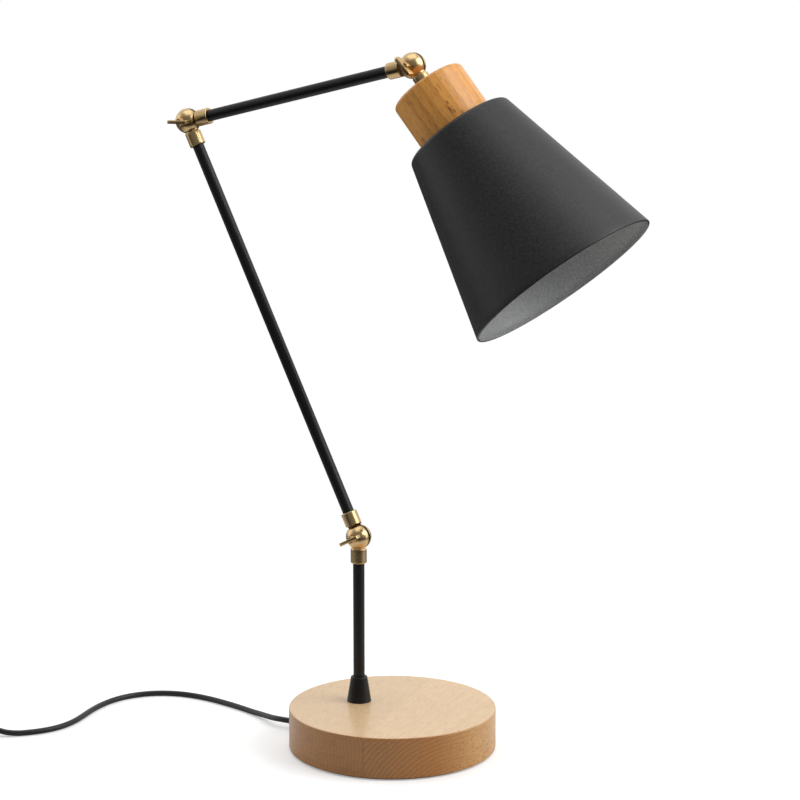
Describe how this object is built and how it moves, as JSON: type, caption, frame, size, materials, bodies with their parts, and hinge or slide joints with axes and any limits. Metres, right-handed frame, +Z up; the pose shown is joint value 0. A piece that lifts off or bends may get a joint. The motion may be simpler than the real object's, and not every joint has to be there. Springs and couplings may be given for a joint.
{
  "type": "desk lamp",
  "caption": "Desk lamp with a round wooden base, swing arms on brass ball knuckles with wing screws, and a black metal shade under a turned wooden cap.",
  "frame": {"origin": "centre of the underside of the base", "axes": "+Z up, +X from the post towards the shade in the plane of the arms, +Y away from the wing screws"},
  "size_m": [0.6735, 0.3398, 0.6014],
  "materials": {
    "pale_beech": "satin lacquer",
    "honey_beech": "satin lacquer",
    "brass": "polished",
    "black_powder_coat": "fine-textured matte",
    "steel": "plain",
    "felt": "matte",
    "white_plastic": "matte",
    "black_cable": "satin",
    "black_plastic": "matte"
  },
  "bodies": {
    "base": {"base_disc": "pale_beech", "base_plate": "steel", "base_felt": "felt", "base_weight": "steel", "weight_screws": "steel", "plate_screws": "steel", "post_collar": "black_powder_coat", "post_tube": "black_powder_coat", "post_washer": "steel", "post_nut": "steel", "post_wires": "black_cable", "cord_bushing": "black_cable", "lower_knuckle_post_half": "brass", "power_cord": "black_cable", "switch_base": "black_plastic", "switch_cover": "black_plastic", "switch_screws": "steel", "cord_coil": "black_cable", "cord_tie": "black_plastic", "plug_body": "black_plastic", "plug_pins": "steel"},
    "switch_rocker": {"switch_rocker": "black_plastic"},
    "lower_arm": {"lower_knuckle_arm_half": "brass", "lower_friction_washer": "black_plastic", "lower_arm_tube": "black_powder_coat", "lower_arm_wires": "black_cable", "elbow_lower_half": "brass"},
    "lower_wing_screw": {"lower_wing_screw": "brass"},
    "upper_arm": {"elbow_upper_half": "brass", "elbow_friction_washer": "black_plastic", "upper_arm_tube": "black_powder_coat", "upper_arm_wires": "black_cable", "head_knuckle_arm_half": "brass", "head_friction_washer": "black_plastic"},
    "elbow_wing_screw": {"elbow_wing_screw": "brass"},
    "head": {"head_knuckle_shade_half": "brass", "head_nipple": "steel", "head_wires": "black_cable", "nipple_nut": "steel", "cap": "honey_beech", "lampholder_cap": "white_plastic", "lampholder_sleeve": "white_plastic", "socket_shell": "brass", "socket_contact": "brass", "shade": "black_powder_coat", "shade_ring": "white_plastic"},
    "head_wing_screw": {"head_wing_screw": "brass"}
  },
  "joints": [
    {"name": "lower_arm_swing", "type": "hinge", "parent": "base", "child": "lower_arm", "pos_m": [-0.033, 0, 0.1845], "axis": [0, 1, 0], "range_deg": [-45, 55]},
    {"name": "elbow_swing", "type": "hinge", "parent": "lower_arm", "child": "upper_arm", "pos_m": [-0.20133, 0, 0.53741], "axis": [0, 1, 0], "range_deg": [-100, 10]},
    {"name": "shade_tilt", "type": "hinge", "parent": "upper_arm", "child": "head", "pos_m": [0.0194, 0, 0.5904], "axis": [0, 1, 0], "range_deg": [-75, 40]},
    {"name": "lower_wing_turn", "type": "hinge", "parent": "lower_arm", "child": "lower_wing_screw", "pos_m": [-0.033, 0, 0.1845], "axis": [0, 1, 0], "range_deg": [-180, 180]},
    {"name": "elbow_wing_turn", "type": "hinge", "parent": "upper_arm", "child": "elbow_wing_screw", "pos_m": [-0.20133, 0, 0.53741], "axis": [0, 1, 0], "range_deg": [-180, 180]},
    {"name": "head_wing_turn", "type": "hinge", "parent": "upper_arm", "child": "head_wing_screw", "pos_m": [0.0194, 0, 0.5904], "axis": [0, 1, 0], "range_deg": [-180, 180]},
    {"name": "switch_rock", "type": "hinge", "parent": "base", "child": "switch_rocker", "pos_m": [-0.36168, -0.15229, 0.011], "axis": [-0.309, 0.9511, 0], "range_deg": [0, 16]}
  ]
}
